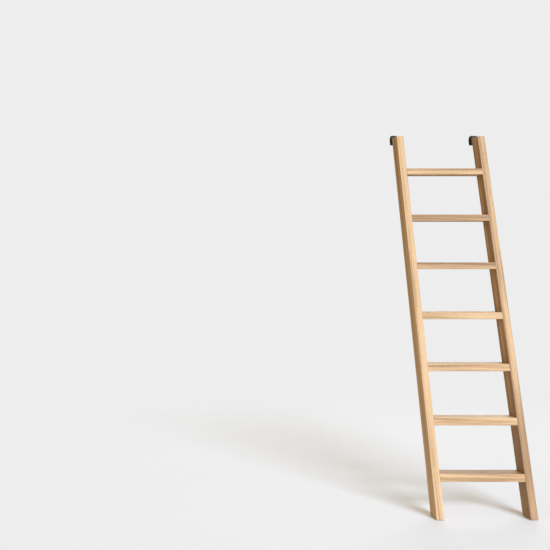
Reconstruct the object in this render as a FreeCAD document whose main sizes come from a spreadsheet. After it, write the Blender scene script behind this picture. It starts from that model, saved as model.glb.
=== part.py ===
"""Library ladder: two leaning oak stiles, seven treads and two hooks for a book-case rail.

Lengths are millimetres.  The ladder stands on the floor (z = 0) with the front of its
treads towards -Y, leans back towards +Y, and is symmetric about the YZ plane.
The origin is on the floor, below the middle of the bounding box.
"""
import FreeCAD, Part
import math
import os
import Sketcher

Vector = FreeCAD.Vector

SIZES = {
    # the whole ladder
    "lean": 17,                    # degrees from the vertical
    "overall_width": 484,
    "ladder_height": 1925,         # floor to the level-cut stile tops
    # stiles
    "stile_thickness": 37,
    "stile_depth": 80,             # square to the stile's length
    "stile_edge_radius": 3,
    "stile_end_chamfer": 1.5,
    # treads
    "tread_count": 7,
    "first_tread": 169,            # floor to the underside of the lowest tread
    "tread_spacing": 256,
    "tread_thickness": 35,
    "tread_inset": 1,
    "nosing_radius": 4,
    "tread_edge_radius": 2,
    # stub tenons and their mortises
    "tenon_length": 10,
    "tenon_width": 58,
    "tenon_thickness": 22,
    "glue_gap": 0.1,
    "mortise_relief": 0.5,
    # tread screws and the plugs over them
    "tread_screw_length": 70,
    "screw_diameter": 5,
    "screw_head_diameter": 9.5,
    "screw_point_length": 7,
    "screw_spread": 36,            # between the two screws of one joint
    "screw_clearance": 0.1,
    "screw_passage": 5.5,
    "socket_width": 3,
    "socket_depth": 2,
    "counterbore_diameter": 10,
    "counterbore_depth": 10,
    "plug_clearance": 0.1,
    "plug_length": 9,
    # hooks over the rail
    "rail_radius": 15,
    "rail_clearance": 0.25,
    "rail_height": 1921,           # floor to the rail's axis
    "liner_thickness": 2.75,
    "liner_width": 34,
    "liner_gap": 0.05,
    "liner_leg": 24,
    "hook_thickness": 5,
    "hook_width": 30,
    "hook_leg": 135,
    "hook_lip": 24,
    "hook_corner_radius": 6,
    "hook_screw_length": 35,
    "hook_screw_count": 3,
    "hook_screw_first": 42,        # below the rail's axis, along the stile
    "hook_screw_spacing": 38,
    # foot pads
    "pad_thickness": 3,
    "pad_inset": 2,
    "pad_corner_radius": 5,
}

# Distances that follow from the sheet, as expressions of it
LEAN = "Sizes.lean"
LEVEL_DEPTH = "(Sizes.stile_depth / cos(Sizes.lean))"
TREAD_STEP = "(Sizes.tread_spacing / cos(Sizes.lean))"
STANDOFF = "(Sizes.hook_thickness + Sizes.liner_thickness + Sizes.rail_clearance + Sizes.rail_radius)"
RAIL_BACK = (f"({LEVEL_DEPTH} + (Sizes.rail_height + {STANDOFF} * sin({LEAN})) * tan({LEAN})"
             f" + {STANDOFF} * cos({LEAN}))")
FOOT_START = f"(Sizes.pad_thickness * tan({LEAN}) + Sizes.stile_end_chamfer * sin({LEAN}))"
FRONT_Y = f"(-0.5 * ({RAIL_BACK} + {STANDOFF} + {FOOT_START}))"
JOINT_Z = "(Sizes.first_tread + 0.5 * Sizes.tread_thickness)"
JOINT_Y = f"({JOINT_Z} * tan({LEAN}) + 0.5 * {LEVEL_DEPTH})"
HALF_WIDTH = "(0.5 * Sizes.overall_width)"
CLEAR_WIDTH = "(Sizes.overall_width - 2 * Sizes.stile_thickness)"
TENON_END = f"(0.5 * {CLEAR_WIDTH} + Sizes.tenon_length)"
STILE_MIDDLE = f"({HALF_WIDTH} - 0.5 * Sizes.stile_thickness)"

SIDES = {"left": -1, "right": 1}

doc = FreeCAD.newDocument("LibraryLadder")
sheet = doc.addObject("Spreadsheet::Sheet", "Sizes")
for row, (name, number) in enumerate(SIZES.items(), start=1):
    sheet.set(f"A{row}", name)
    sheet.set(f"B{row}", str(number))
    sheet.setAlias(f"B{row}", name)
doc.recompute()


def value(expression):
    """The number that an expression of the sheet has now."""
    return float(sheet.evalExpression(expression))


def new_body(label, several=False):
    body = doc.addObject("PartDesign::Body", label)
    body.Label = label
    body.AllowCompound = several
    return body


def place(body, x="0", y="0", z="0", leaning=False):
    for axis, expression in zip("xyz", (x, y, z)):
        body.setExpression(f"Placement.Base.{axis}", expression)
    if leaning:
        body.Placement.Rotation = FreeCAD.Rotation(Vector(-1, 0, 0), value(LEAN))
        body.setExpression("Placement.Rotation.Angle", LEAN)


def new_sketch(body, name, plane, offset="0"):
    """A sketch on one of the body's own planes, moved along the plane's normal."""
    sketch = body.newObject("Sketcher::SketchObject", name)
    planes = {item.Role: item for item in body.Origin.OriginFeatures}
    sketch.AttachmentSupport = [(planes[plane], "")]
    sketch.MapMode = "FlatFace"
    sketch.setExpression("AttachmentOffset.Base.z", offset)
    return sketch


def dimension(sketch, kind, references, expression):
    """A driving dimension bound to the sheet."""
    index = sketch.addConstraint(Sketcher.Constraint(kind, *references, value(expression)))
    sketch.setExpression(f"Constraints[{index}]", expression)


def locate(sketch, item, point, x, y):
    """Fix one point of a sketch element at x, y from the sketch's origin."""
    for kind, axis, expression in (("DistanceX", -2, x), ("DistanceY", -1, y)):
        if value(expression) == 0:
            sketch.addConstraint(Sketcher.Constraint("PointOnObject", item, point, axis))
        elif value(expression) > 0:
            dimension(sketch, kind, (-1, 1, item, point), expression)
        else:
            dimension(sketch, kind, (item, point, -1, 1), f"-({expression})")


def outline(sketch, corners):
    """A closed run of straight lines through corners given as pairs of expressions."""
    points = [Vector(value(x), value(y), 0) for x, y in corners]
    following = points[1:] + points[:1]
    lines = [sketch.addGeometry(Part.LineSegment(a, b), False) for a, b in zip(points, following)]
    for line, next_line in zip(lines, lines[1:] + lines[:1]):
        sketch.addConstraint(Sketcher.Constraint("Coincident", line, 2, next_line, 1))
    for line, (x, y) in zip(lines, corners):
        locate(sketch, line, 1, x, y)


def circle(sketch, x, y, diameter):
    centre = Vector(value(x), value(y), 0)
    ring = sketch.addGeometry(Part.Circle(centre, Vector(0, 0, 1), 0.5 * value(diameter)), False)
    locate(sketch, ring, 3, x, y)
    dimension(sketch, "Diameter", (ring,), diameter)


def slot(sketch, x, y, width, height):
    """A level slot with round ends, centred at x, y."""
    middle = Vector(value(x), value(y), 0)
    radius = 0.5 * value(height)
    reach = Vector(0.5 * value(width) - radius, 0, 0)
    rise = Vector(0, radius, 0)
    ends = []
    for centre, start in ((middle + reach, -0.5 * math.pi), (middle - reach, 0.5 * math.pi)):
        ring = Part.Circle(centre, Vector(0, 0, 1), radius)
        ends.append(sketch.addGeometry(Part.ArcOfCircle(ring, start, start + math.pi), False))
    front, back = ends
    top = sketch.addGeometry(Part.LineSegment(middle + reach + rise, middle - reach + rise), False)
    bottom = sketch.addGeometry(Part.LineSegment(middle - reach - rise, middle + reach - rise), False)
    for first, first_end, second, second_end in (
            (front, 2, top, 1), (top, 2, back, 1), (back, 2, bottom, 1), (bottom, 2, front, 1)):
        sketch.addConstraint(Sketcher.Constraint("Tangent", first, first_end, second, second_end))
    sketch.addConstraint(Sketcher.Constraint("Horizontal", top))
    dimension(sketch, "Diameter", (front,), height)
    locate(sketch, front, 3, f"{x} + 0.5 * ({width} - {height})", y)
    locate(sketch, back, 3, f"{x} - 0.5 * ({width} - {height})", y)


def guide_line(sketch, across, up):
    """A construction line from the origin, which gives a pattern its direction."""
    tip = Vector(value(across), value(up), 0)
    line = sketch.addGeometry(Part.LineSegment(Vector(0, 0, 0), tip), True)
    sketch.addConstraint(Sketcher.Constraint("Coincident", line, 1, -1, 1))
    locate(sketch, line, 2, across, up)


def lean_guide(sketch):
    """Direction 0 of the sketch: up along the stile, for a sketch on the YZ plane."""
    guide_line(sketch, f"100 * tan({LEAN})", "100")


def extrude(body, kind, name, sketch, length, reverse=False, symmetric=False):
    feature = body.newObject(f"PartDesign::{kind}", name)
    feature.Profile = sketch
    feature.Reversed = reverse
    if symmetric:
        feature.SideType = "Symmetric"
    feature.setExpression("Length", length)
    doc.recompute()
    return feature


def edge_names(feature, wanted):
    edges = enumerate(feature.Shape.Edges, start=1)
    return [f"Edge{number}" for number, edge in edges if wanted(edge)]


def dress(body, kind, name, base, edges, size):
    """Round or chamfer the named edges."""
    feature = body.newObject(f"PartDesign::{kind}", name)
    feature.Base = (base, edges)
    feature.setExpression("Radius" if kind == "Fillet" else "Size", size)
    doc.recompute()
    return feature


def screw_hole(body, name, places, depth, cut, cut_sizes, reverse):
    """A screw's passage with a head seat; cut_sizes binds what the seat needs."""
    hole = body.newObject("PartDesign::Hole", name)
    hole.Profile = places
    doc.recompute()
    hole.Reversed = reverse
    hole.DepthType = "Dimension"
    hole.setExpression("Depth", depth)
    hole.setExpression("Diameter", "Sizes.screw_passage")
    hole.HoleCutType = cut
    hole.HoleCutCustomValues = True
    for size, expression in cut_sizes.items():
        hole.setExpression(size, expression)
    hole.HoleCutCountersinkAngle = 90
    doc.recompute()
    return hole


def repeat(body, name, features, sketch, steps, counts):
    """Repeat features along the construction lines of a sketch, in one or two directions."""
    rows = []
    for number, (step, count) in enumerate(zip(steps, counts)):
        row = body.newObject("PartDesign::LinearPattern", f"{name}_{number}")
        row.Direction = (sketch, [f"Axis{number}"])
        row.Mode = "Spacing"
        row.setExpression("Offset", step)
        row.setExpression("Occurrences", count)
        rows.append(row)
    if len(rows) == 1:
        pattern = rows[0]
    else:
        pattern = body.newObject("PartDesign::MultiTransform", name)
        pattern.Transformations = rows
    pattern.Originals = features
    body.Tip = pattern
    doc.recompute()
    return pattern


def runs_along(edge, direction):
    """True for a straight edge that runs along a direction."""
    if not isinstance(edge.Curve, Part.Line):
        return False
    return edge.Curve.Direction.cross(direction).Length < 1e-6


def leaning_direction():
    return FreeCAD.Rotation(Vector(-1, 0, 0), value(LEAN)).multVec(Vector(0, 0, 1))


def stile_board(body, side, profile):
    """The leaning board itself, with its ends chamfered and its long edges eased."""
    foot, top = "Sizes.pad_thickness", "Sizes.ladder_height"
    outline(profile, [
        (f"{foot} * tan({LEAN})", foot),
        (f"{foot} * tan({LEAN}) + {LEVEL_DEPTH}", foot),
        (f"{top} * tan({LEAN}) + {LEVEL_DEPTH}", top),
        (f"{top} * tan({LEAN})", top)])
    lean_guide(profile)
    board = extrude(body, "Pad", f"{side}_stile_board", profile, "Sizes.stile_thickness")
    levels = (value(foot), value(top))

    def at_an_end(edge):
        heights = [vertex.Z for vertex in edge.Vertexes]
        return any(max(abs(z - level) for z in heights) < 1e-6 for level in levels)

    ends = dress(body, "Chamfer", f"{side}_stile_ends", board, edge_names(board, at_an_end),
                 "Sizes.stile_end_chamfer")
    long_edges = edge_names(ends, lambda edge: runs_along(edge, leaning_direction()))
    dress(body, "Fillet", f"{side}_stile_eased", ends, long_edges, "Sizes.stile_edge_radius")


def cut_joints(body, side, profile):
    """A mortise and two screw holes for every tread."""
    left = side == "left"
    outer_face = "0" if left else "Sizes.stile_thickness"
    inner_face = "Sizes.stile_thickness" if left else "0"

    mortise_shape = new_sketch(body, f"{side}_mortise_shape", "YZ_Plane", inner_face)
    slot(mortise_shape, JOINT_Y, JOINT_Z, "(Sizes.tenon_width + 2 * Sizes.glue_gap)",
         "(Sizes.tenon_thickness + 2 * Sizes.glue_gap)")
    mortise = extrude(body, "Pocket", f"{side}_mortise", mortise_shape,
                      "Sizes.tenon_length + Sizes.mortise_relief", reverse=not left)

    screw_places = new_sketch(body, f"{side}_screw_places", "YZ_Plane", outer_face)
    for sign in "-+":
        circle(screw_places, f"{JOINT_Y} {sign} 0.5 * Sizes.screw_spread", JOINT_Z, "Sizes.screw_passage")
    seat = {"HoleCutDiameter": "Sizes.counterbore_diameter", "HoleCutDepth": "Sizes.counterbore_depth"}
    hole = screw_hole(body, f"{side}_screw_hole", screw_places, "Sizes.stile_thickness",
                      "Counterdrill", seat, left)
    repeat(body, f"{side}_joints", [mortise, hole], profile, [TREAD_STEP], ["Sizes.tread_count"])


def drill_hook_pilots(body, side):
    """Pilot holes for the hook's screws, square to the stile's back."""
    rail_foot_z = f"(Sizes.rail_height + {STANDOFF} * sin({LEAN}))"
    pilot_places = new_sketch(body, f"{side}_hook_pilot_places", "XZ_Plane",
                              f"-({LEVEL_DEPTH} + {rail_foot_z} * tan({LEAN}))")
    # the sketch leans with the stile's back, and starts where the rail's normal meets it
    pilot_places.AttachmentOffset.Rotation = FreeCAD.Rotation(Vector(-1, 0, 0), value(LEAN))
    pilot_places.setExpression("AttachmentOffset.Rotation.Angle", LEAN)
    pilot_places.setExpression("AttachmentOffset.Base.y", rail_foot_z)
    circle(pilot_places, "0.5 * Sizes.stile_thickness", "-Sizes.hook_screw_first",
           "Sizes.screw_diameter + Sizes.screw_clearance")
    guide_line(pilot_places, "0", "-100")
    pilot = extrude(body, "Pocket", f"{side}_hook_pilot", pilot_places,
                    "Sizes.hook_screw_length - Sizes.hook_thickness + 2", reverse=True)
    repeat(body, f"{side}_hook_pilots", [pilot], pilot_places, ["Sizes.hook_screw_spacing"],
           ["Sizes.hook_screw_count"])


def stile(side):
    """One upright: a leaning board with level-cut ends, mortised for the treads."""
    body = new_body(f"{side}_stile")
    profile = new_sketch(body, f"{side}_stile_profile", "YZ_Plane")
    stile_board(body, side, profile)
    cut_joints(body, side, profile)
    drill_hook_pilots(body, side)
    place(body, f"-{HALF_WIDTH}" if side == "left" else f"0.5 * {CLEAR_WIDTH}", FRONT_Y)
    return body


def tread(number):
    """One step: its front and back edges are bevelled in line with the stiles."""
    body = new_body(f"tread_{number}")
    shift = f"(Sizes.tread_thickness * tan({LEAN}))"
    profile = new_sketch(body, f"tread_{number}_profile", "YZ_Plane")
    outline(profile, [
        ("Sizes.tread_inset", "0"),
        (f"{LEVEL_DEPTH} - Sizes.tread_inset", "0"),
        (f"{LEVEL_DEPTH} - Sizes.tread_inset + {shift}", "Sizes.tread_thickness"),
        (f"Sizes.tread_inset + {shift}", "Sizes.tread_thickness")])
    board = extrude(body, "Pad", f"tread_{number}_board", profile, CLEAR_WIDTH, symmetric=True)

    nosing_y = value(f"Sizes.tread_inset + {shift}")

    def is_nosing(edge):
        return runs_along(edge, Vector(1, 0, 0)) and abs(edge.Vertexes[0].Y - nosing_y) < 1e-6

    nosed = dress(body, "Fillet", f"tread_{number}_nosing", board, edge_names(board, is_nosing),
                  "Sizes.nosing_radius")
    sharp_places = [(value("Sizes.tread_inset"), 0),
                    (value(f"{LEVEL_DEPTH} - Sizes.tread_inset"), 0),
                    (value(f"{LEVEL_DEPTH} - Sizes.tread_inset + {shift}"), value("Sizes.tread_thickness"))]

    def is_sharp(edge):
        start = edge.Vertexes[0]
        near = [abs(start.Y - y) + abs(start.Z - z) < 1e-6 for y, z in sharp_places]
        return runs_along(edge, Vector(1, 0, 0)) and any(near)

    dress(body, "Fillet", f"tread_{number}_eased", nosed, edge_names(nosed, is_sharp),
          "Sizes.tread_edge_radius")

    middle_y = f"(0.5 * ({LEVEL_DEPTH} + {shift}))"
    middle_z = "(0.5 * Sizes.tread_thickness)"
    tenon_shape = new_sketch(body, f"tread_{number}_tenon_shape", "YZ_Plane")
    slot(tenon_shape, middle_y, middle_z, "Sizes.tenon_width", "Sizes.tenon_thickness")
    extrude(body, "Pad", f"tread_{number}_tenons", tenon_shape, f"2 * {TENON_END}", symmetric=True)

    pilot_places = new_sketch(body, f"tread_{number}_pilot_places", "YZ_Plane", TENON_END)
    for sign in "-+":
        circle(pilot_places, f"{middle_y} {sign} 0.5 * Sizes.screw_spread", middle_z,
               "Sizes.screw_diameter + Sizes.screw_clearance")
    reach = ("Sizes.tread_screw_length + Sizes.counterbore_depth + Sizes.tenon_length"
             " - Sizes.stile_thickness + 1")
    pilots = extrude(body, "Pocket", f"tread_{number}_pilots", pilot_places, reach)
    mirrored = body.newObject("PartDesign::Mirrored", f"tread_{number}_far_pilots")
    mirrored.Originals = [pilots]
    planes = {item.Role: item for item in body.Origin.OriginFeatures}
    mirrored.MirrorPlane = (planes["YZ_Plane"], [""])
    body.Tip = mirrored
    doc.recompute()

    height = f"(Sizes.first_tread + {number - 1} * Sizes.tread_spacing)"
    place(body, "0", f"{FRONT_Y} + {height} * tan({LEAN})", height)
    return body


def screw_blank(body, name, length, along_x):
    """A countersunk screw with its head at the origin, pointing along -Y or along x."""
    head, shank = "(0.5 * Sizes.screw_head_diameter)", "(0.5 * Sizes.screw_diameter)"
    stations = [
        ("0", "0"),
        ("0", head),
        (f"{head} - {shank}", shank),
        (f"{length} - Sizes.screw_point_length", shank),
        (length, "0")]
    profile = new_sketch(body, f"{name}_profile", "XY_Plane")
    if along_x:
        outline(profile, [(f"{along_x} * ({run})", radius) for run, radius in stations])
    else:
        outline(profile, [(radius, f"-1 * ({run})") for run, radius in stations])
    blank = body.newObject("PartDesign::Revolution", f"{name}_blank")
    blank.Profile = profile
    blank.ReferenceAxis = (profile, ["H_Axis" if along_x else "V_Axis"])
    blank.Angle = 360
    doc.recompute()
    return blank


def hexagon(sketch, width):
    """A hexagon about the origin, with its flats level."""
    flat = f"(0.5 * {width})"
    corner = f"({width} / sqrt(3))"
    outline(sketch, [
        (corner, "0"), (f"0.5 * {corner}", flat), (f"-0.5 * {corner}", flat),
        (f"-1 * {corner}", "0"), (f"-0.5 * {corner}", f"-1 * {flat}"), (f"0.5 * {corner}", f"-1 * {flat}")])


def tread_screws(side):
    """The fourteen screws of one stile, each through the stile into a tread's end."""
    inward = "1" if side == "left" else "-1"
    body = new_body(f"{side}_tread_screws", several=True)
    blank = screw_blank(body, f"{side}_tread_screw", "Sizes.tread_screw_length", along_x=inward)
    socket_shape = new_sketch(body, f"{side}_tread_socket_shape", "YZ_Plane")
    lean_guide(socket_shape)
    guide_line(socket_shape, "100", "0")
    hexagon(socket_shape, "Sizes.socket_width")
    socket = extrude(body, "Pocket", f"{side}_tread_socket", socket_shape, "Sizes.socket_depth",
                     reverse=side == "left")
    repeat(body, f"{side}_tread_screw_rows", [blank, socket], socket_shape,
           [TREAD_STEP, "Sizes.screw_spread"], ["Sizes.tread_count", "2"])
    head_x = f"({HALF_WIDTH} - Sizes.counterbore_depth)"
    place(body, f"-{inward} * {head_x}", f"{FRONT_Y} + {JOINT_Y} - 0.5 * Sizes.screw_spread", JOINT_Z)
    return body


def screw_plugs(side):
    """The oak plugs that close the counterbores of one stile, flush with its face."""
    body = new_body(f"{side}_screw_plugs", several=True)
    shape = new_sketch(body, f"{side}_plug_shape", "YZ_Plane")
    lean_guide(shape)
    guide_line(shape, "100", "0")
    circle(shape, "0", "0", "Sizes.counterbore_diameter - Sizes.plug_clearance")
    plug = extrude(body, "Pad", f"{side}_plug", shape, "Sizes.plug_length", reverse=side == "right")
    repeat(body, f"{side}_plug_rows", [plug], shape, [TREAD_STEP, "Sizes.screw_spread"],
           ["Sizes.tread_count", "2"])
    outer_x = f"-{HALF_WIDTH}" if side == "left" else HALF_WIDTH
    place(body, outer_x, f"{FRONT_Y} + {JOINT_Y} - 0.5 * Sizes.screw_spread", JOINT_Z)
    return body


def bent_strip(body, name, radius, thickness, width, leg, lip):
    """A flat strip bent round the rail; the rail's axis is the body's X axis."""
    turn = value(radius)
    path = new_sketch(body, f"{name}_path", "YZ_Plane")
    leg_line = path.addGeometry(
        Part.LineSegment(Vector(-turn, -value(leg), 0), Vector(-turn, 0, 0)), False)
    ring = Part.Circle(Vector(0, 0, 0), Vector(0, 0, 1), turn)
    saddle = path.addGeometry(Part.ArcOfCircle(ring, 0, math.pi), False)
    lip_line = path.addGeometry(
        Part.LineSegment(Vector(turn, 0, 0), Vector(turn, -value(lip), 0)), False)
    path.addConstraint(Sketcher.Constraint("Coincident", saddle, 3, -1, 1))
    path.addConstraint(Sketcher.Constraint("Tangent", leg_line, 2, saddle, 2))
    path.addConstraint(Sketcher.Constraint("Tangent", saddle, 1, lip_line, 1))
    path.addConstraint(Sketcher.Constraint("Vertical", leg_line))
    path.addConstraint(Sketcher.Constraint("Vertical", lip_line))
    dimension(path, "Radius", (saddle,), radius)
    dimension(path, "DistanceY", (leg_line, 1, -1, 1), leg)
    dimension(path, "DistanceY", (lip_line, 2, -1, 1), lip)

    section = new_sketch(body, f"{name}_section", "XY_Plane", f"-({leg})")
    outline(section, [
        (f"-0.5 * {width}", f"-({radius}) - 0.5 * {thickness}"),
        (f"0.5 * {width}", f"-({radius}) - 0.5 * {thickness}"),
        (f"0.5 * {width}", f"-({radius}) + 0.5 * {thickness}"),
        (f"-0.5 * {width}", f"-({radius}) + 0.5 * {thickness}")])
    doc.recompute()
    strip = body.newObject("PartDesign::AdditivePipe", f"{name}_strip")
    strip.Profile = section
    strip.Spine = path
    doc.recompute()
    return strip


def place_at_rail(body, side):
    place(body, f"{SIDES[side]} * {STILE_MIDDLE}", f"{FRONT_Y} + {RAIL_BACK}", "Sizes.rail_height",
          leaning=True)


def rail_hook(side):
    """A steel strap screwed to the back of a stile and bent over the rail."""
    body = new_body(f"{side}_rail_hook")
    inner = "(Sizes.rail_radius + Sizes.rail_clearance + Sizes.liner_thickness)"
    middle = f"({inner} + 0.5 * Sizes.hook_thickness)"
    strap = bent_strip(body, f"{side}_hook", middle, "Sizes.hook_thickness", "Sizes.hook_width",
                       "Sizes.hook_leg", "Sizes.hook_lip")
    corners = edge_names(strap, lambda edge: runs_along(edge, Vector(0, 1, 0)))
    dress(body, "Fillet", f"{side}_hook_corners", strap, corners, "Sizes.hook_corner_radius")

    screw_places = new_sketch(body, f"{side}_hook_hole_places", "XZ_Plane", inner)
    circle(screw_places, "0", "-Sizes.hook_screw_first", "Sizes.screw_passage")
    guide_line(screw_places, "0", "-100")
    seat = {"HoleCutDiameter": "Sizes.screw_head_diameter + 2 * Sizes.screw_clearance"}
    hole = screw_hole(body, f"{side}_hook_hole", screw_places, "Sizes.hook_thickness",
                      "Countersink", seat, True)
    repeat(body, f"{side}_hook_holes", [hole], screw_places, ["Sizes.hook_screw_spacing"],
           ["Sizes.hook_screw_count"])
    place_at_rail(body, side)
    return body


def hook_liner(side):
    """The nylon liner that keeps the steel off the rail."""
    body = new_body(f"{side}_hook_liner")
    thickness = "(Sizes.liner_thickness - Sizes.liner_gap)"
    middle = f"(Sizes.rail_radius + Sizes.rail_clearance + 0.5 * {thickness})"
    bent_strip(body, f"{side}_liner", middle, thickness, "Sizes.liner_width", "Sizes.liner_leg",
               "Sizes.liner_leg")
    place_at_rail(body, side)
    return body


def hook_screws(side):
    """The screws that hold one hook to its stile."""
    body = new_body(f"{side}_hook_screws", several=True)
    blank = screw_blank(body, f"{side}_hook_screw", "Sizes.hook_screw_length", along_x=None)
    socket_shape = new_sketch(body, f"{side}_hook_socket_shape", "XZ_Plane")
    guide_line(socket_shape, "0", "-100")
    hexagon(socket_shape, "Sizes.socket_width")
    socket = extrude(body, "Pocket", f"{side}_hook_socket", socket_shape, "Sizes.socket_depth",
                     reverse=True)
    repeat(body, f"{side}_hook_screw_row", [blank, socket], socket_shape,
           ["Sizes.hook_screw_spacing"], ["Sizes.hook_screw_count"])
    seat = f"({STANDOFF} - Sizes.hook_thickness)"
    drop = "Sizes.hook_screw_first"
    place(body, f"{SIDES[side]} * {STILE_MIDDLE}",
          f"{FRONT_Y} + {RAIL_BACK} - {seat} * cos({LEAN}) - {drop} * sin({LEAN})",
          f"Sizes.rail_height + {seat} * sin({LEAN}) - {drop} * cos({LEAN})", leaning=True)
    return body


def foot_pad(side):
    """A non-slip pad glued under a stile."""
    body = new_body(f"{side}_foot_pad")
    shape = new_sketch(body, f"{side}_pad_shape", "XY_Plane")
    half_x = "(0.5 * Sizes.stile_thickness - Sizes.pad_inset)"
    half_y = f"(0.5 * {LEVEL_DEPTH} - Sizes.pad_inset)"
    outline(shape, [
        (f"-1 * {half_x}", f"-1 * {half_y}"), (half_x, f"-1 * {half_y}"),
        (half_x, half_y), (f"-1 * {half_x}", half_y)])
    pad = extrude(body, "Pad", f"{side}_pad_sheet", shape, "Sizes.pad_thickness")
    corners = edge_names(pad, lambda edge: runs_along(edge, Vector(0, 0, 1)))
    dress(body, "Fillet", f"{side}_pad_corners", pad, corners, "Sizes.pad_corner_radius")
    place(body, f"{SIDES[side]} * {STILE_MIDDLE}",
          f"{FRONT_Y} + Sizes.pad_thickness * tan({LEAN}) + 0.5 * {LEVEL_DEPTH}")
    return body


def check(parts):
    """Stop if any object failed, or any sub-part isn't a sound solid."""
    failed = [item.Name for item in doc.Objects if {"Invalid", "Error"} & set(item.State)]
    if failed:
        raise RuntimeError(f"objects that failed: {failed}")
    for body in parts:
        shape = body.Shape
        if shape.isNull() or not shape.isValid() or not shape.Solids:
            raise RuntimeError(f"{body.Label} has no sound shape")
        print(f"{body.Label:20s} {len(shape.Solids):3d} solids {shape.Volume / 1000:9.2f} cm3")


def main():
    parts = [tread(number) for number in range(1, SIZES["tread_count"] + 1)]
    for side in SIDES:
        for make in (stile, tread_screws, screw_plugs, rail_hook, hook_liner, hook_screws, foot_pad):
            parts.append(make(side))
    doc.recompute()
    check(parts)
    os.makedirs("parts", exist_ok=True)
    for body in parts:
        body.Shape.exportStep(f"parts/{body.Label}.step")
    box = Part.makeCompound([body.Shape for body in parts]).BoundBox
    print(f"box {box.XLength:.1f} x {box.YLength:.1f} x {box.ZLength:.1f} mm,"
          f" y {box.YMin:.2f} to {box.YMax:.2f}, z from {box.ZMin:.2f}")


main()
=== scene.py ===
# %% [markdown]
# # A library ladder
#
# The ladder is a plain piece of joinery: two oak stiles lean back against a shelf rail, seven
# oak treads are let into them, and two lined steel hooks on the back hold it on the rail.
# The design is already fixed in CAD, so this notebook brings in those parts as they are and
# works on what the eye sees: boards that look sawn from a log, metal that looks coated, and
# edges that look eased by hand.

# %% Load the frame
import math

import bmesh
import bpy
from mathutils import Matrix, Vector


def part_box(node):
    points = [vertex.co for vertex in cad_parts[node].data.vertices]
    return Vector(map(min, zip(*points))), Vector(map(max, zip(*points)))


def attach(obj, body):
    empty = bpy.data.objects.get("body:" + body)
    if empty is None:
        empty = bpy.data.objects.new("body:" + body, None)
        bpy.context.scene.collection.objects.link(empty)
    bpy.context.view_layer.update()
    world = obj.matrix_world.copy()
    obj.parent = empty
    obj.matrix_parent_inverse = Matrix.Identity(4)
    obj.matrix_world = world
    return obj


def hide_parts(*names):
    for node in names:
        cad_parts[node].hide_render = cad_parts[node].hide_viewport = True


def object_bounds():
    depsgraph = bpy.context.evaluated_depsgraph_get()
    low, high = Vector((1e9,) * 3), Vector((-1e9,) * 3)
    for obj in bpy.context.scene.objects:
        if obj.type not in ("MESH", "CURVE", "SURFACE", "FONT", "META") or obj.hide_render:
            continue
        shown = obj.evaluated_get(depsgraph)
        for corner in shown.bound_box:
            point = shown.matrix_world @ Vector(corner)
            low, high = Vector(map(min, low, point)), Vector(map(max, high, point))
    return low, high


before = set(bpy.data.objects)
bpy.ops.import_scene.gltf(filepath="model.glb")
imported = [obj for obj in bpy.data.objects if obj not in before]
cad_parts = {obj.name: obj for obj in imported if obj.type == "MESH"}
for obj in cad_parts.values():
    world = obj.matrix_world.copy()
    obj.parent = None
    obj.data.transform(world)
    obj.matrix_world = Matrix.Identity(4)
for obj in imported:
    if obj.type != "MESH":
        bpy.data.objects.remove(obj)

cad_low, cad_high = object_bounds()
print("CAD box", [round(side, 4) for side in cad_high - cad_low], "metres")

# %% [markdown]
# ## Where things are
#
# Every measure comes from the frame.  The lean is the one number that the boxes don't state
# outright: two treads of one size are the same step apart in depth and in height, and the
# ratio of those two is the tangent of the lean.  Three directions follow from it, and they
# serve as the grain of the boards and as the axes of the hooks.

# %% Measure the ladder
TREADS = [f"tread_{number}" for number in range(1, 8)]
SIDES = {"left": -1, "right": 1}

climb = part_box(TREADS[-1])[0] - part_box(TREADS[0])[0]
LEAN = math.atan2(climb.y, climb.z)
UP = Vector((0, math.sin(LEAN), math.cos(LEAN)))
BACK = Vector((0, math.cos(LEAN), -math.sin(LEAN)))
ACROSS = Vector((1, 0, 0))
step = climb.z / (len(TREADS) - 1)
print(f"lean {math.degrees(LEAN):.2f} degrees, tread step {step * 1000:.1f} mm")

# %% A node's middle and size
def middle_of(node):
    low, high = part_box(node)
    return (Vector(low) + Vector(high)) / 2


def size_of(node):
    low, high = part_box(node)
    return Vector(high) - Vector(low)


print("a tread is", [round(side * 1000, 1) for side in size_of(TREADS[0])], "mm with its tenons")

# %% [markdown]
# ## Camera
#
# The ladder is looked at from its left, at about chest height, by a level camera that faces
# the shelves squarely.  Treads then stay level in the picture, and the inside of the right
# stile shows.  Turning the camera towards the ladder would make the treads slope instead, so
# the lens is shifted sideways, as with an architect's camera.

# %% Place the camera
DISTANCE = 3.672
FROM_MIDDLE = -1.629
EYE_HEIGHT = 1.214
camera_data = bpy.data.cameras.new("camera")
camera_data.sensor_width = 36
camera_data.lens = 50.6
camera_data.shift_x = 0.2366
camera_data.shift_y = -0.018
camera = bpy.data.objects.new("camera", camera_data)
camera.location = (FROM_MIDDLE, cad_low.y - DISTANCE, EYE_HEIGHT)
camera.rotation_euler = (math.pi / 2, 0, 0)
bpy.context.collection.objects.link(camera)
bpy.context.scene.camera = camera
print("camera at", tuple(round(value, 3) for value in camera.location))

# %% [markdown]
# ## Shader maths
#
# A material is a small program drawn as nodes.  Writing it as arithmetic keeps it readable:
# `Value` wraps a socket, and each operator adds the Math node that does the sum, also when the
# plain number stands on the left, as in `1 - mask`.  Numbers that don't change over the
# surface stay in Python.

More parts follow.
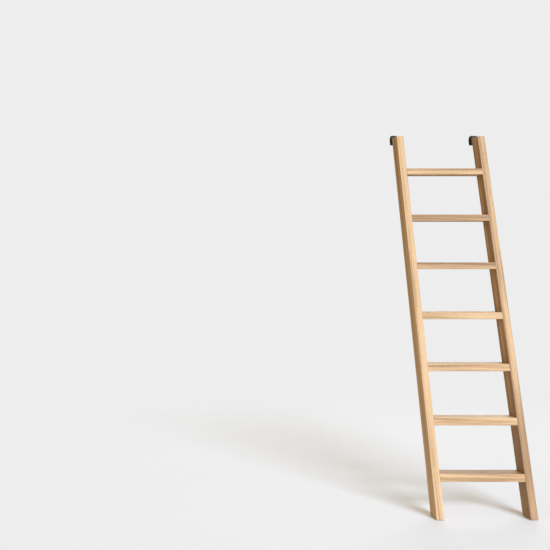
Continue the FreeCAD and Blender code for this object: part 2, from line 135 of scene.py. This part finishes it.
# %% A value that does sums
class Value:
    """A socket of a node tree that takes part in arithmetic."""

    def __init__(self, shader, socket):
        self.shader = shader
        self.socket = socket

    def math(self, operation, first, second=0.0):
        return self.shader.node("ShaderNodeMath", {"operation": operation}, {0: first, 1: second})

    def __add__(self, other):
        return self.math("ADD", self, other)

    def __radd__(self, other):
        return self.math("ADD", other, self)

    def __sub__(self, other):
        return self.math("SUBTRACT", self, other)

    def __rsub__(self, other):
        return self.math("SUBTRACT", other, self)

    def __mul__(self, other):
        return self.math("MULTIPLY", self, other)

    def __rmul__(self, other):
        return self.math("MULTIPLY", other, self)

    def part(self):
        """What is left of the number after its whole part."""
        return self.math("FRACT", self)

    def size(self):
        """The number without its sign."""
        return self.math("ABSOLUTE", self)


print("values know", [name for name, held in vars(Value).items() if callable(held) and name != "__init__"])

# %% [markdown]
# `Shader` makes every other node with one method: the node's settings first, because some of
# them change its sockets, and then what its sockets hold.  The rest of its methods are the few
# nodes that oak, steel and rubber all need, under names that say what they are for.

# %% A shader made of named nodes
class Shader:
    """A material whose nodes are made one by one."""

    def __init__(self, name):
        self.material = bpy.data.materials.new(name)
        self.material.use_nodes = True
        self.tree = self.material.node_tree
        self.surface = self.tree.nodes["Principled BSDF"]

    def node(self, kind, settings=None, inputs=None, output=0):
        made = self.tree.nodes.new(kind)
        for name, setting in (settings or {}).items():
            setattr(made, name, setting)
        for name, held in (inputs or {}).items():
            if isinstance(held, Value):
                self.tree.links.new(held.socket, made.inputs[name])
            else:
                made.inputs[name].default_value = held
        return Value(self, made.outputs[output])

    def constant(self, **settings):
        """Numbers that are the same all over, set on the surface's own sockets."""
        for name, held in settings.items():
            title = name.replace("_", " ").title().replace("Ior", "IOR")
            self.surface.inputs[title].default_value = held

    def feed(self, name, value):
        """Join a value that changes over the piece to one of the surface's sockets."""
        self.tree.links.new(value.socket, self.surface.inputs[name])

    def place(self):
        """Where a point is, in the piece's own coordinates."""
        return self.node("ShaderNodeTexCoord", output=3)

    def facing(self):
        """Which way the surface faces, in the piece's own coordinates."""
        return self.node("ShaderNodeTexCoord", output=1)

    def vector(self, operation, first, second, output=0):
        return self.node("ShaderNodeVectorMath", {"operation": operation}, {0: first, 1: second}, output)

    def axis(self, vector, number):
        """One coordinate of a vector: 0, 1 or 2."""
        return self.node("ShaderNodeSeparateXYZ", inputs={0: vector}, output=number)

    def mix(self, factor, first, second):
        """The first colour where the factor is 0, the second where it is 1."""
        return self.node("ShaderNodeMix", {"data_type": "RGBA"}, {0: factor, 6: first, 7: second}, 2)

    def ease(self, value, low, high, to_low=0.0, to_high=1.0):
        """A value that goes smoothly from to_low to to_high while another goes from low to high."""
        return self.node("ShaderNodeMapRange", {"interpolation_type": "SMOOTHSTEP"},
                         {0: value, 1: low, 2: high, 3: to_low, 4: to_high})

    def stretch(self, vector, scale):
        """The same place in a space that is stretched along its axes."""
        return self.vector("MULTIPLY", vector, scale)

    def noise(self, vector, scale=1.0, detail=2.0, roughness=0.5, output=0):
        inputs = {"Vector": vector, "Scale": scale, "Detail": detail, "Roughness": roughness}
        return self.node("ShaderNodeTexNoise", inputs=inputs, output=output)

    def line_noise(self, value, detail=1.0):
        """Noise along a single number, for bands that keep their place across a board."""
        return self.node("ShaderNodeTexNoise", {"noise_dimensions": "1D"},
                         {"W": value, "Scale": 1.0, "Detail": detail, "Roughness": 0.6})

    def relief(self, height, distance, strength=1.0):
        """A Bump node fed by a height; the distance is the depth in metres of a height of 1."""
        inputs = {"Strength": strength, "Distance": distance, "Height": height}
        return self.node("ShaderNodeBump", inputs=inputs)


def colour(red, green, blue):
    return (red, green, blue, 1.0)


print("shaders know", [name for name in vars(Shader) if not name.startswith("_")])

# %% [markdown]
# ## Oak
#
# Grain isn't a stripe pattern laid on a board.  It is what a saw shows of a tree, so the
# shader keeps a tree: a pith line runs roughly along the board, the distance from it gives
# the growth rings, and every face cuts the same rings at its own angle.  Where the pith line
# tilts a degree or two from the board, the rings run out and draw the long arches of
# flat-sawn oak.  A picture of wood wrapped round the board could do none of this at its
# corners.  Each board gets its own piece of the tree, so no two look alike.

# %% A board's place in its tree
def board_space(shader, middle, grain, pith, tilt):
    """Coordinates whose Z runs along the pith line of the board's tree.

    Pith is how far the pith line lies from the board's middle, in metres, and tilt is its two
    angles to the grain, in degrees.
    """
    side = ACROSS if abs(grain.dot(ACROSS)) < 0.5 else BACK
    third = grain.cross(side)
    turn = Matrix((side, third, grain)).transposed()
    for angle, axis in zip(tilt, "XY"):
        turn = turn @ Matrix.Rotation(math.radians(angle), 3, axis)
    return shader.node("ShaderNodeMapping", {"vector_type": "TEXTURE"}, {
        "Vector": shader.place(),
        "Location": middle + side * pith[0] + third * pith[1],
        "Rotation": turn.to_euler()})


def growth(shader, log, seat):
    """Distance from the pith and the angle round it, in a tree that isn't quite round or straight."""
    wander = shader.noise(shader.stretch(seat, (8.0, 8.0, 1.5)), detail=3.0, output=1)
    centred = shader.vector("ADD", wander, (-0.5, -0.5, -0.5))
    bent = shader.vector("ADD", log, shader.stretch(centred, (0.026, 0.026, 0.0)))
    radius = shader.vector("LENGTH", shader.stretch(bent, (1.0, 1.0, 0.0)), (0, 0, 0), output=1)
    turn = radius.math("ARCTAN2", shader.axis(bent, 1), shader.axis(bent, 0))
    return radius, turn


print("a board's tree has a pith line, rings round it and rays out from it")

# %% [markdown]
# Oak is ring-porous: each spring the tree lays down a band of open vessels, and the rest of
# the year is dense and pale.  So a year is a dark porous line that fades into pale wood.
# Years come in slow and fast runs, which show as broad bands.  Along the grain go streaks,
# fibres and the dashes of cut vessels, all one noise stretched by different amounts.  Rays
# cross the rings at a right angle, and show as short pale flecks on one face of a board.

# %% Oak finish
PALE = colour(0.62, 0.402, 0.208)
HONEY = colour(0.440, 0.258, 0.118)
BROWN = colour(0.265, 0.146, 0.066)
PORE = colour(0.135, 0.070, 0.032)
ROSE = colour(0.415, 0.248, 0.148)
YEARS_PER_METRE = 250.0

# how finely each noise varies, per metre: twice across the grain, then along it
CLOUD = (3.0, 3.0, 1.4)
STREAK = (42.0, 42.0, 0.9)
THREAD = (240.0, 240.0, 4.0)
FIBRE = (900.0, 900.0, 24.0)
VESSEL = (1300.0, 1300.0, 48.0)


def oak(name, middle, grain, pith, tilt, seed, tone=0.0, streaks=1.0, foot=0.0, rose=0.0):
    """Lacquered oak.

    Tone darkens a whole board, foot darkens it towards its lower end, streaks is how much it
    varies from place to place, and rose is how much of its dark wood is reddish.
    """
    shader = Shader(name)
    log = board_space(shader, middle, grain, pith, tilt)
    seat = shader.vector("ADD", log, (seed * 3.1, seed * 1.7, seed * 5.3))
    radius, turn = growth(shader, log, seat)

    # years, and the runs of slow and fast ones
    slow = shader.line_noise(radius * 55.0 + seed * 7.0, detail=3.0)
    uneven = 2.6 * shader.line_noise(radius * 80.0 + seed * 3.0)
    ring = (radius * YEARS_PER_METRE + uneven).part()
    early = shader.ease(ring, 0.0, 0.42, 1.0, 0.0) * shader.ease(ring, 0.0, 0.05)

    # what runs along the grain
    streak = shader.noise(shader.stretch(seat, STREAK), detail=5.0, roughness=0.62)
    thread = shader.noise(shader.stretch(seat, THREAD), detail=3.0, roughness=0.6)
    fibre = shader.noise(shader.stretch(seat, FIBRE), detail=2.0, roughness=0.65)
    vessels = shader.noise(shader.stretch(seat, VESSEL), detail=1.0)
    pore = shader.ease(vessels, 0.53, 0.64) * (0.12 + 0.88 * early)
    cloud = shader.noise(shader.stretch(seat, CLOUD), detail=2.0)

    # what runs out from the pith
    ray_place = shader.node("ShaderNodeCombineXYZ", inputs={
        0: radius * 70.0, 1: turn * 75.0, 2: shader.axis(seat, 2) * 210.0})
    ray = shader.ease(shader.noise(ray_place, detail=1.0), 0.64, 0.72)

    depth = 0.50 * shader.ease(slow, 0.34, 0.68) + 0.40 * early
    depth = depth + streaks * (0.90 * shader.ease(streak, 0.40, 0.66) + 1.4 * (cloud - 0.5))
    depth = depth + (thread - 0.5) + 0.45 * (fibre - 0.5) + tone
    if foot:
        depth = depth + foot * shader.ease(shader.axis(log, 2), -0.95, 0.90, 1.0, 0.0)
    wood = shader.mix(shader.ease(depth, 0.0, 1.10), PALE, HONEY)
    wood = shader.mix(shader.ease(depth, 0.72, 1.70), wood, BROWN)
    if rose:
        wood = shader.mix(rose * shader.ease(streak, 0.42, 0.62), wood, ROSE)
    wood = shader.mix(ray * 0.20, wood, PALE)
    wood = shader.mix(pore * 0.62, wood, PORE)

    # the ends of a board drink more finish than its faces
    squarely = shader.vector("DOT_PRODUCT", shader.facing(), grain, output=1)
    end_grain = shader.ease(squarely.size(), 0.72, 0.97)
    wood = shader.mix(end_grain * 0.30, wood, BROWN)

    shader.feed("Base Color", wood)
    sheen = 0.42 + 0.14 * fibre + 0.10 * cloud
    shader.feed("Roughness", sheen + 0.20 * pore - 0.06 * ray + 0.12 * end_grain)
    shader.constant(specular_ior_level=0.24)
    height = 0.5 * fibre + 0.4 * thread - 0.9 * pore - 0.3 * early
    shader.feed("Normal", shader.relief(height, 0.00025, 0.9))
    return shader.material


print("oak goes from", PALE[:3], "to", BROWN[:3], "at", YEARS_PER_METRE, "years a metre")

# %% [markdown]
# ## Boards
#
# A joiner sorts boards by colour but never gets them all alike.  The sixth tread is plainly
# browner than the rest, and the fifth a little.  The left stile is pale and even.  The right
# one is livelier, reddish in its streaks, and darkens towards the floor.

# %% Treads
def wear(node, material):
    """Give a CAD piece its finish."""
    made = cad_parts[node]
    made.data.materials.clear()
    made.data.materials.append(material)


# darkness and liveliness of each tread, lowest first
TREAD_TONES = (-0.16, -0.10, 0.06, 0.24, 0.40, 0.66, 0.14)
TREAD_STREAKS = (1.3, 1.5, 1.0, 1.1, 1.2, 0.8, 0.9)
for number, (node, tone, streaks) in enumerate(zip(TREADS, TREAD_TONES, TREAD_STREAKS), start=1):
    pith = (0.045 - 0.02 * (number % 3), -0.075 - 0.012 * (number % 4))
    tilt = (1.6 - 0.7 * (number % 4), 0.8 - 0.5 * (number % 3))
    wear(node, oak(f"oak_{node}", middle_of(node), ACROSS, pith, tilt, number * 1.37, tone, streaks))
print(len(TREADS), "treads, darkest is number", TREAD_TONES.index(max(TREAD_TONES)) + 1)

# %% [markdown]
# The plugs are cut from the same oak but set with their grain along the stile, so they show
# only as slightly darker discs.  A plug whose grain crossed the board's would catch the eye.

# %% Stiles and plugs
LEFT_BOARD = {"tone": -0.08, "streaks": 0.8}
RIGHT_BOARD = {"tone": 0.0, "streaks": 1.5, "foot": 0.62, "rose": 0.50}
for side, board in (("left", LEFT_BOARD), ("right", RIGHT_BOARD)):
    sign = SIDES[side]
    middle = middle_of(f"{side}_stile")
    wear(f"{side}_stile", oak(f"oak_{side}_stile", middle, UP, (0.11 * sign, 0.05), (0.25, 0.3 * sign),
                              11.0 + 3.3 * sign, **board))
    wear(f"{side}_screw_plugs", oak(f"oak_{side}_plugs", middle, UP, (0.16, 0.02), (4.0, 3.0),
                                    21.0 + sign, tone=0.30))
print("stiles", LEFT_BOARD, RIGHT_BOARD)

# %% [markdown]
# ## Metal, nylon and rubber
#
# The hooks are steel with a black powder coat: a fine orange-peel skin, matt, a little
# lighter where it has rubbed.  The liner is moulded nylon, smoother and a touch grey, and its
# flow lines run round the rail.  The screws are zinc plated under the plugs and black on the
# hooks.  The pads are rubber, dull and crumbly.  Black things need care: at a colour of 0 they
# would be holes in the picture, so the darkest is 0.016 and the gloss draws their shape.

# %% Coated and moulded finishes
def powder_coat(name):
    shader = Shader(name)
    place = shader.place()
    peel = shader.noise(place, scale=900.0)
    grime = shader.noise(place, scale=38.0, detail=4.0, roughness=0.6)
    rubbed = shader.ease(grime, 0.52, 0.72)
    shader.feed("Base Color", shader.mix(rubbed, colour(0.016, 0.016, 0.017), colour(0.035, 0.034, 0.033)))
    shader.feed("Roughness", 0.46 + 0.16 * peel + 0.08 * rubbed)
    shader.feed("Normal", shader.relief(peel, 0.00025, 0.7))
    return shader.material


def nylon(name):
    shader = Shader(name)
    flow = shader.noise(shader.stretch(shader.place(), (60.0, 240.0, 240.0)), detail=3.0)
    shader.feed("Base Color", shader.mix(flow, colour(0.028, 0.028, 0.030), colour(0.050, 0.050, 0.053)))
    shader.feed("Roughness", 0.34 + 0.18 * flow)
    shader.feed("Normal", shader.relief(flow, 0.0001, 0.5))
    return shader.material


def rubber(name):
    shader = Shader(name)
    crumb = shader.noise(shader.place(), scale=520.0, detail=3.0, roughness=0.7)
    shader.feed("Base Color", shader.mix(crumb, colour(0.30, 0.25, 0.19), colour(0.42, 0.36, 0.28)))
    shader.feed("Roughness", 0.78 + 0.14 * crumb)
    shader.feed("Normal", shader.relief(crumb, 0.0004, 0.8))
    return shader.material


print("coat, nylon and rubber are ready for the new pieces")

# %% Screws
def plating(name, dark, light, metal, smooth):
    """Plated steel whose colour and gloss are cloudy, as a barrel-plated screw's are."""
    shader = Shader(name)
    bloom = shader.noise(shader.place(), scale=380.0, detail=3.0)
    shader.feed("Base Color", shader.mix(bloom, dark, light))
    shader.feed("Roughness", smooth + 0.20 * bloom)
    shader.constant(metallic=metal)
    return shader.material


for side in SIDES:
    wear(f"{side}_tread_screws", plating(
        f"{side}_tread_screw_zinc", colour(0.60, 0.59, 0.56), colour(0.78, 0.77, 0.72), 1.0, 0.24))
    wear(f"{side}_hook_screws", plating(
        f"{side}_hook_screw_oxide", colour(0.020, 0.020, 0.022), colour(0.060, 0.058, 0.055), 0.6, 0.34))
    print(side, "screws plated")

# %% [markdown]
# ## Hooks and liners
#
# A hook is a strap, 30 mm wide and 5 mm thick, that goes up the stile's back, round the rail
# and down again.  It could be a curve with a bevel, but a strap keeps better ends if it is
# made as a smith makes it: one flat face is drawn out up the leg, spun half a turn about the
# rail's axis and drawn out down the lip.  Rounding comes afterwards, big corners first and
# then every sharp edge.

# %% Tools for new pieces
SHARP_ANGLE = math.radians(50)


def draw_out(mesh, face, step):
    """Draw a face out along a step; gives back the face at the far end."""
    made = bmesh.ops.extrude_face_region(mesh, geom=[face, *face.edges, *face.verts])["geom"]
    moved = [item for item in made if isinstance(item, bmesh.types.BMVert)]
    bmesh.ops.translate(mesh, verts=moved, vec=step)
    return next(item for item in made if isinstance(item, bmesh.types.BMFace))


def soften(mesh, wanted, size, segments):
    """Round the edges that a test picks."""
    edges = [edge for edge in mesh.edges if wanted(edge)]
    bmesh.ops.bevel(mesh, geom=edges, offset=size, segments=segments, profile=0.5, affect="EDGES",
                    material=-1, clamp_overlap=True)


def is_sharp(edge):
    return len(edge.link_faces) == 2 and edge.calc_face_angle() > SHARP_ANGLE


def new_piece(name, mesh, node, material, place):
    """Turn a mesh into a piece that stands in for a CAD node."""
    bmesh.ops.recalc_face_normals(mesh, faces=mesh.faces)
    bmesh.ops.transform(mesh, matrix=place, verts=mesh.verts)
    open_edges = sum(not edge.is_manifold for edge in mesh.edges)
    data = bpy.data.meshes.new(name)
    mesh.to_mesh(data)
    mesh.free()
    data.polygons.foreach_set("use_smooth", [True] * len(data.polygons))
    data.set_sharp_from_angle(angle=SHARP_ANGLE)
    data.materials.append(material)
    made = bpy.data.objects.new(name, data)
    bpy.context.collection.objects.link(made)
    made.modifiers.new("flat faces stay flat", "WEIGHTED_NORMAL").keep_sharp = True
    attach(made, "root")
    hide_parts(node)
    print(f"{name}: {len(data.polygons)} faces, {open_edges} open edges, in place of {node}")


print(f"an edge is sharp over {math.degrees(SHARP_ANGLE):.0f} degrees, so the facets of a bend aren't")

# %% A section carried over the rail
STRAP_INNER = 0.018
STRAP_OUTER = 0.023
BEND_STEPS = 40


def at_rail(side):
    """The hook's own space: X along the rail, Y away from the stile, Z up along the stile."""
    low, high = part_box(f"{side}_rail_hook")
    axis = Vector(((low.x + high.x) / 2, high.y - STRAP_OUTER, high.z - STRAP_OUTER))
    return Matrix.Translation(axis) @ Matrix((ACROSS, BACK, UP)).transposed().to_4x4()


def over_rail(section, leg, lip, seams=()):
    """Carry a section, given as (across, outwards) pairs, up the leg, over the rail and down."""
    mesh = bmesh.new()
    end = mesh.faces.new([mesh.verts.new((across, -outwards, -leg)) for across, outwards in section])
    heights = [-leg, *seams, 0.0]
    for here, there in zip(heights, heights[1:]):
        end = draw_out(mesh, end, Vector((0, 0, there - here)))
    spun = bmesh.ops.spin(mesh, geom=[end, *end.edges, *end.verts], cent=(0, 0, 0), axis=(1, 0, 0),
                          dvec=(0, 0, 0), angle=-math.pi, steps=BEND_STEPS, use_duplicate=False)
    end = next(item for item in spun["geom_last"] if isinstance(item, bmesh.types.BMFace))
    draw_out(mesh, end, Vector((0, 0, -lip)))
    return mesh


for side in SIDES:
    print(side, "rail axis at", [round(value, 4) for value in at_rail(side).translation])

# %% [markdown]
# Each screw sits in a countersink.  A Boolean would cut it, and leave long thin triangles.
# Instead, the flat between two seams gets as many corners as the hole has, an inset gives the
# hole its own ring, and the ring is moved onto a circle and drawn in twice: first a tiny eased
# lip, then the cone.

# %% Countersinks
SCREW_HEIGHTS = (0.118, 0.080, 0.042)
SEAT_RADIUS = 0.00485
SEAT_EASE = 0.0002
SHANK_RADIUS = 0.00275
SEAT_INSET = 0.002
EXTRA_CORNERS = 7


def make_round(face, radius):
    """Move a face's corners onto a circle about its middle, evenly spaced."""
    middle = face.calc_center_bounds()
    first, second = (vert.co - middle for vert in face.verts[:2])
    turn = math.copysign(math.tau / len(face.verts), first.x * second.z - first.z * second.x)
    start = math.atan2(first.z, first.x)
    for number, vert in enumerate(face.verts):
        angle = start + number * turn
        vert.co = middle + radius * Vector((math.cos(angle), 0, math.sin(angle)))


def countersink(mesh, height):
    """A round seat for a screw's head, in the flat face of the leg."""
    centre = Vector((0, -STRAP_INNER, -height))

    def face_at_centre():
        return min(mesh.faces, key=lambda face: (face.calc_center_bounds() - centre).length)

    bmesh.ops.subdivide_edges(mesh, edges=list(face_at_centre().edges), cuts=EXTRA_CORNERS)
    seat = face_at_centre()
    bmesh.ops.inset_individual(mesh, faces=[seat], thickness=SEAT_INSET)
    make_round(seat, SEAT_RADIUS + SEAT_EASE)
    for radius, depth in ((SEAT_RADIUS, SEAT_EASE), (SHANK_RADIUS, SEAT_RADIUS - SHANK_RADIUS)):
        seat = draw_out(mesh, seat, Vector((0, -depth, 0)))
        make_round(seat, radius)


print(len(SCREW_HEIGHTS), "seats a strap,", round(SEAT_RADIUS * 2000, 1), "mm across")

# %% Strap
STRAP_WIDTH = 0.030
LEG = 0.135
LIP = 0.024
SEAM_OFFSET = 0.009
END_CORNER = 0.006
STRAP_RIM = 0.0009


def strap():
    half = STRAP_WIDTH / 2
    section = [(-half, STRAP_OUTER), (half, STRAP_OUTER), (half, STRAP_INNER), (-half, STRAP_INNER)]
    seams = [-height + offset for height in SCREW_HEIGHTS for offset in (-SEAM_OFFSET, SEAM_OFFSET)]
    mesh = over_rail(section, LEG, LIP, seams)

    def is_end_corner(edge):
        first, second = (vert.co for vert in edge.verts)
        at_an_end = any(abs(first.z + end) + abs(second.z + end) < 1e-6 for end in (LEG, LIP))
        return at_an_end and abs(first.x - second.x) < 1e-6

    soften(mesh, is_end_corner, END_CORNER, 8)
    soften(mesh, is_sharp, STRAP_RIM, 3)
    for height in SCREW_HEIGHTS:
        countersink(mesh, height)
    return mesh


for side in SIDES:
    new_piece(f"{side}_strap", strap(), f"{side}_rail_hook",
              powder_coat(f"{side}_strap_coat"), at_rail(side))

# %% [markdown]
# The liner is carried over the rail in the same way, from a section with two low flanges.
# They lap the strap's edges and keep the liner from sliding off sideways.

# %% Liner
LINER_INNER = 0.01525
LINER_OUTER = 0.01795
LINER_WIDTH = 0.034
FLANGE_THICKNESS = 0.0019
FLANGE_HEIGHT = 0.0028
LINER_RIM = 0.0005


def liner():
    half = LINER_WIDTH / 2
    inside = half - FLANGE_THICKNESS
    rim = LINER_OUTER + FLANGE_HEIGHT
    section = [(-half, LINER_INNER), (half, LINER_INNER), (half, rim), (inside, rim), (inside, LINER_OUTER),
               (-inside, LINER_OUTER), (-inside, rim), (-half, rim)]
    mesh = over_rail(section, LIP, LIP)
    soften(mesh, is_sharp, LINER_RIM, 2)
    return mesh


for side in SIDES:
    new_piece(f"{side}_liner", liner(), f"{side}_hook_liner",
              nylon(f"{side}_liner_nylon"), at_rail(side))

# %% [markdown]
# ## Foot pads
#
# The pads are cut from sheet rubber.  Their rims are eased, and a groove runs round the edge
# of each, where the hard backing meets the soft sole.  The plan comes first, a rectangle with
# round corners, and is then drawn up in small rises that also spread or shrink it.

# %% Pads
PAD_EASE = 0.0004
PAD_CORNER = 0.005
# rises from the floor up, each with how far the outline grows on every side, in metres
PAD_RISES = ((0.0004, PAD_EASE), (0.0009, 0.0), (0.0002, -0.0006), (0.0004, 0.0),
             (0.0002, 0.0006), (0.0005, 0.0), (0.0004, -PAD_EASE))


def pad(size):
    """A grooved pad, centred in plan and standing on the floor."""
    mesh = bmesh.new()
    bmesh.ops.create_grid(mesh, x_segments=1, y_segments=1, size=0.5)
    bmesh.ops.scale(mesh, verts=mesh.verts, vec=(size.x - 2 * PAD_EASE, size.y - 2 * PAD_EASE, 1.0))
    bmesh.ops.bevel(mesh, geom=list(mesh.verts), offset=PAD_CORNER, segments=8, profile=0.5,
                    affect="VERTICES", material=-1, clamp_overlap=True)
    mesh.faces.ensure_lookup_table()
    top = mesh.faces[0]
    for rise, growth_on_each_side in PAD_RISES:
        top = draw_out(mesh, top, Vector((0, 0, rise)))
        grown = (1 + 2 * growth_on_each_side / size.x, 1 + 2 * growth_on_each_side / size.y, 1.0)
        bmesh.ops.scale(mesh, verts=list(top.verts), vec=grown)
    return mesh


for side in SIDES:
    node = f"{side}_foot_pad"
    centre = middle_of(node)
    new_piece(f"{side}_pad", pad(size_of(node)), node,
              rubber(f"{side}_pad_rubber"), Matrix.Translation((centre.x, centre.y, 0)))

# %% [markdown]
# ## Floor and light
#
# A pale floor fades into a pale surround, so nothing competes with the wood.  The fade is in
# the material: the floor turns clear with distance.  Its mottle is faint, only enough to keep
# the floor from looking like paper.

# %% Floor
FLOOR_RADIUS = 6.0
FADE_FROM = 1.2
FADE_TO = 3.6


def pale_floor():
    shader = Shader("pale_floor")
    place = shader.place()
    mottle = shader.noise(place, scale=2.0, detail=4.0)
    shader.feed("Base Color", shader.mix(mottle, colour(0.798, 0.797, 0.793), colour(0.812, 0.811, 0.807)))
    shader.constant(roughness=0.8, specular_ior_level=0.2)
    distance = shader.vector("LENGTH", place, (0, 0, 0), output=1)
    clear = shader.node("ShaderNodeBsdfTransparent")
    paint = Value(shader, shader.surface.outputs[0])
    fade = shader.ease(distance, FADE_FROM, FADE_TO)
    faded = shader.node("ShaderNodeMixShader", inputs={0: fade, 1: paint, 2: clear})
    shader.tree.links.new(faded.socket, shader.tree.nodes["Material Output"].inputs["Surface"])
    return shader.material


floor_mesh = bmesh.new()
bmesh.ops.create_circle(floor_mesh, cap_ends=True, segments=96, radius=FLOOR_RADIUS)
floor_data = bpy.data.meshes.new("floor")
floor_mesh.to_mesh(floor_data)
floor_mesh.free()
floor_data.materials.append(pale_floor())
floor = bpy.data.objects.new("floor", floor_data)
bpy.context.collection.objects.link(floor)
print("floor", FLOOR_RADIUS * 2, "m across")

# %% [markdown]
# Three distant lamps do the lighting.  The key stands in front and to the right, cool as a
# window, and leaves the left faces in shade.  The shade is warm, as it is in a room of wood,
# so the fill and the surround are tinted to match.  The third lamp keeps the back readable.
# Each lamp has a wide angle, which softens its shadows.

# %% Lamps
def soft_sun(name, toward, strength, softness, tint):
    """A distant lamp: toward points from the ladder to the lamp, softness is its angle in degrees."""
    data = bpy.data.lights.new(name, "SUN")
    data.energy = strength
    data.angle = math.radians(softness)
    data.color = tint
    made = bpy.data.objects.new(name, data)
    made.rotation_euler = Vector(toward).to_track_quat("Z", "Y").to_euler()
    bpy.context.collection.objects.link(made)
    print(f"{name}: strength {strength}, {softness:.0f} degrees wide")


soft_sun("key", (0.34, -0.84, 0.44), 3.95, 36.0, (0.88, 1.02, 1.24))
soft_sun("fill", (-0.75, -0.45, 0.35), 0.50, 60.0, (1.0, 0.86, 0.64))
soft_sun("rear", (0.45, 0.85, 0.28), 1.3, 45.0, (0.97, 1.0, 1.0))

# %% [markdown]
# The surround has two faces.  The camera sees a plain pale grey, and everything else is lit
# by a warm glow.  A Light Path node tells the two apart.

# %% Surround
BACKDROP = colour(0.85, 0.85, 0.85)
GLOW = colour(1.0, 0.83, 0.59)
GLOW_STRENGTH = 0.40
world = bpy.data.worlds.new("studio")
world.use_nodes = True
bpy.context.scene.world = world
nodes, links = world.node_tree.nodes, world.node_tree.links
seen = nodes["Background"]
seen.inputs["Color"].default_value = BACKDROP
around = nodes.new("ShaderNodeBackground")
around.inputs["Color"].default_value = GLOW
around.inputs["Strength"].default_value = GLOW_STRENGTH
path = nodes.new("ShaderNodeLightPath")
chosen = nodes.new("ShaderNodeMixShader")
links.new(path.outputs["Is Camera Ray"], chosen.inputs[0])
links.new(around.outputs[0], chosen.inputs[1])
links.new(seen.outputs[0], chosen.inputs[2])
links.new(chosen.outputs[0], nodes["World Output"].inputs["Surface"])
bpy.context.scene.view_settings.view_transform = "Standard"
print("surround", len(nodes), "nodes")

# %% [markdown]
# ## Finish
#
# The new pieces are meant to stay about as large as the parts that they stand for.
